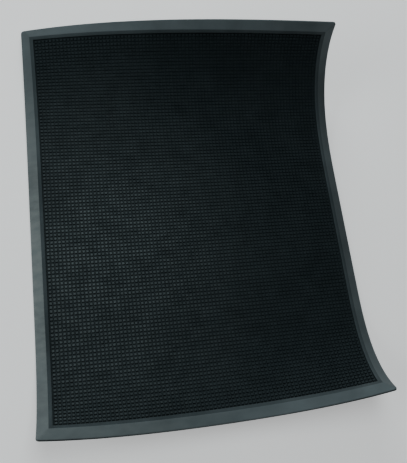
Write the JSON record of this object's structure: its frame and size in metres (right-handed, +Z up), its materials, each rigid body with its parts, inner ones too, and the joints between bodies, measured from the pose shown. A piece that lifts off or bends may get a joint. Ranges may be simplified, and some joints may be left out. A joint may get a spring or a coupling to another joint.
{
  "type": "seedling heat mat",
  "caption": "Rubber seedling heat mat with a bevelled border, a field of small square nubs, a curled far end and a cord inlet boss under it.",
  "frame": {"origin": "middle of the flat underside, which is the face that the mat rests on", "axes": "+X across the mat, +Y along the mat from the lifted front edge to the curled far end, +Z up"},
  "size_m": [0.5593, 0.715, 0.1255],
  "materials": {
    "top_cover": "matt moulded rubber",
    "base_sheet": "matt rubber, fine cloth grain underneath",
    "inlet_boss": "matt moulded rubber",
    "cord_bushing": "satin",
    "lower_scrim": "woven glass cloth",
    "upper_scrim": "woven glass cloth",
    "earth_screen": "woven fine mesh",
    "insulating_film": "clear amber film",
    "earth_tab": "tinned",
    "heating_wire": "silicone rubber insulation",
    "live_lead": "satin insulation",
    "neutral_lead": "satin insulation",
    "earth_lead": "satin insulation",
    "live_cold_joint": "heat-shrink sleeve",
    "neutral_cold_joint": "heat-shrink sleeve",
    "junction_base": "moulded heat-resistant plastic",
    "junction_lid": "moulded heat-resistant plastic",
    "earth_splice": "tinned brass",
    "neutral_splice": "tinned brass",
    "live_lead_crimp": "tinned brass",
    "live_core_crimp": "tinned brass",
    "contact_strip": "rolled strip",
    "arm_bracket": "rolled strip",
    "fixed_contact": "silver contact",
    "moving_contact": "silver contact",
    "bimetal_arm": "bimetal strip",
    "arm_rivet": "satin",
    "lid_rivet_1": "satin",
    "lid_rivet_2": "satin",
    "lid_rivet_3": "satin",
    "lid_rivet_4": "satin"
  },
  "bodies": {
    "mat": {"top_cover": "top_cover", "base_sheet": "base_sheet", "inlet_boss": "inlet_boss", "cord_bushing": "cord_bushing", "lower_scrim": "lower_scrim", "upper_scrim": "upper_scrim", "earth_screen": "earth_screen", "insulating_film": "insulating_film", "earth_tab": "earth_tab", "heating_wire": "heating_wire", "live_lead": "live_lead", "neutral_lead": "neutral_lead", "earth_lead": "earth_lead", "live_cold_joint": "live_cold_joint", "neutral_cold_joint": "neutral_cold_joint", "junction_base": "junction_base", "junction_lid": "junction_lid", "earth_splice": "earth_splice", "neutral_splice": "neutral_splice", "live_lead_crimp": "live_lead_crimp", "live_core_crimp": "live_core_crimp", "contact_strip": "contact_strip", "arm_bracket": "arm_bracket", "fixed_contact": "fixed_contact", "arm_rivet": "arm_rivet", "lid_rivet_1": "lid_rivet_1", "lid_rivet_2": "lid_rivet_2", "lid_rivet_3": "lid_rivet_3", "lid_rivet_4": "lid_rivet_4"},
    "cutout_arm": {"bimetal_arm": "bimetal_arm", "moving_contact": "moving_contact"}
  },
  "joints": [
    {"name": "cutout_arm_lift", "type": "hinge", "parent": "mat", "child": "cutout_arm", "pos_m": [-0.20935, 0.37032, 0.02643], "axis": [0, -0.9596, -0.2815], "range_deg": [0, 2.3], "stiffness_Nm_per_rad": 0.002, "springref_deg": -1.15}
  ]
}
